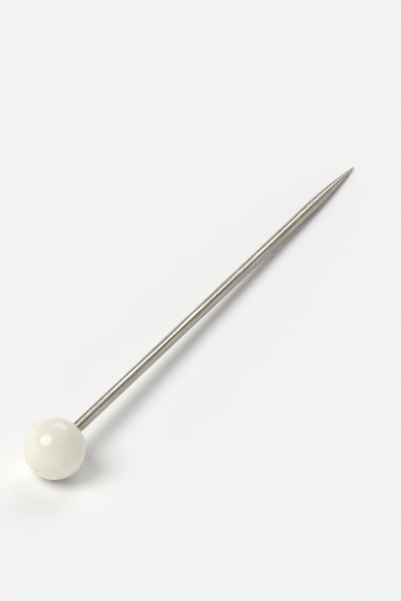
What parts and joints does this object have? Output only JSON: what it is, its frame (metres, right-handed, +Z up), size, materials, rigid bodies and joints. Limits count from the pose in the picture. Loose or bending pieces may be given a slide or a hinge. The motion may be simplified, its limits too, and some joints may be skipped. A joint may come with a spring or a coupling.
{
  "type": "glass-headed straight pin",
  "caption": "Sharpened plated steel wire pin with an opaque ivory-white glass ball melted onto its blunt end.",
  "frame": {"origin": "on the surface that the pin lies on, under the middle of its length", "axes": "+X runs from the ball to the point, +Z up. The wire slopes down towards the point by 2.81 degrees."},
  "size_m": [0.032, 0.0032, 0.0032],
  "materials": {
    "plated_steel": "bright nickel plating over drawn wire, with a ground and polished point",
    "opal_glass": "opaque ivory-white glass with a fire-polished gloss"
  },
  "bodies": {
    "root": {"shaft": "plated_steel", "glass_head": "opal_glass"}
  },
  "joints": []
}
